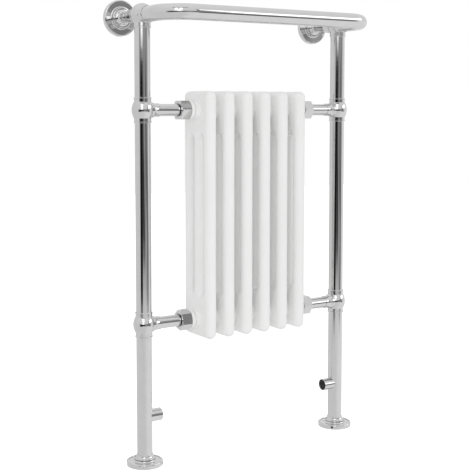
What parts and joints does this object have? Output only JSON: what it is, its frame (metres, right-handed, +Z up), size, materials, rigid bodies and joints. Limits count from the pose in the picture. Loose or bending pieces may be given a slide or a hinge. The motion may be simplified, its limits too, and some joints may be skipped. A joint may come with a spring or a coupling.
{
  "type": "towel warmer rack",
  "caption": "Traditional floor-standing heated towel rack: chromed posts with ball joints, a U-shaped towel rail on top and a white column radiator between the posts.",
  "frame": {"origin": "on the floor, midway between the two posts, at the middle of the overall depth", "axes": "+X from the left post to the right post, +Y towards the wall, +Z up"},
  "size_m": [0.575, 0.231, 0.9625],
  "materials": {
    "polished_chrome": "mirror-polished chrome plate on steel tube and brass fittings",
    "white_enamel": "smooth satin-gloss white powder coat",
    "zinc_steel": "zinc-plated steel, hidden in use",
    "seal_rubber": "matt black sealing rubber and fibre",
    "dark_steel": "blackened socket grub screws",
    "nickel": "nickel-plated brass"
  },
  "bodies": {
    "frame": {"air_vent_body": "nickel", "bush_seals": "seal_rubber", "floor_plate_left": "zinc_steel", "floor_plate_right": "zinc_steel", "floor_rose_left": "polished_chrome", "floor_rose_right": "polished_chrome", "floor_rose_screw_left": "dark_steel", "floor_rose_screw_right": "dark_steel", "inlet_stub_left": "polished_chrome", "inlet_stub_right": "polished_chrome", "leg_plug_left": "polished_chrome", "leg_plug_right": "polished_chrome", "leg_tube_left": "polished_chrome", "leg_tube_right": "polished_chrome", "lower_ball_tee_left": "polished_chrome", "lower_ball_tee_right": "polished_chrome", "lower_branch_pipe_left": "polished_chrome", "lower_branch_pipe_right": "polished_chrome", "lower_radiator_bush_left": "white_enamel", "lower_radiator_bush_right": "white_enamel", "middle_post_tube_left": "polished_chrome", "middle_post_tube_right": "polished_chrome", "radiator_section_1": "white_enamel", "radiator_section_2": "white_enamel", "radiator_section_3": "white_enamel", "radiator_section_4": "white_enamel", "radiator_section_5": "white_enamel", "radiator_section_6": "white_enamel", "section_gaskets": "seal_rubber", "section_nipples": "zinc_steel", "top_ball_joint_left": "polished_chrome", "top_ball_joint_right": "polished_chrome", "towel_rail": "polished_chrome", "union_washers": "seal_rubber", "upper_ball_tee_left": "polished_chrome", "upper_ball_tee_right": "polished_chrome", "upper_branch_pipe_left": "polished_chrome", "upper_branch_pipe_right": "polished_chrome", "upper_post_tube_left": "polished_chrome", "upper_post_tube_right": "polished_chrome", "upper_radiator_bush_left": "white_enamel", "upper_radiator_bush_right": "white_enamel", "wall_plate_left": "zinc_steel", "wall_plate_right": "zinc_steel", "wall_rose_left": "polished_chrome", "wall_rose_right": "polished_chrome", "wall_rose_screw_left": "dark_steel", "wall_rose_screw_right": "dark_steel", "wall_stem_left": "polished_chrome", "wall_stem_right": "polished_chrome"},
    "air_vent_screw": {"air_vent_screw": "nickel"},
    "lower_union_nut_left": {"lower_union_nut_left": "polished_chrome"},
    "lower_union_nut_right": {"lower_union_nut_right": "polished_chrome"},
    "upper_union_nut_left": {"upper_union_nut_left": "polished_chrome"},
    "upper_union_nut_right": {"upper_union_nut_right": "polished_chrome"}
  },
  "joints": [
    {"name": "upper_union_nut_left_turn", "type": "hinge", "parent": "frame", "child": "upper_union_nut_left", "pos_m": [-0.156, 0.0135, 0.734], "axis": [-1, 0, 0], "continuous": true},
    {"name": "upper_union_nut_right_turn", "type": "hinge", "parent": "frame", "child": "upper_union_nut_right", "pos_m": [0.156, 0.0135, 0.734], "axis": [1, 0, 0], "continuous": true},
    {"name": "lower_union_nut_left_turn", "type": "hinge", "parent": "frame", "child": "lower_union_nut_left", "pos_m": [-0.156, 0.0135, 0.294], "axis": [-1, 0, 0], "continuous": true},
    {"name": "lower_union_nut_right_turn", "type": "hinge", "parent": "frame", "child": "lower_union_nut_right", "pos_m": [0.156, 0.0135, 0.294], "axis": [1, 0, 0], "continuous": true},
    {"name": "air_vent_screw_turn", "type": "hinge", "parent": "frame", "child": "air_vent_screw", "pos_m": [0.114, 0.071, 0.745], "axis": [0, 1, 0], "range_deg": [0, 360]}
  ]
}
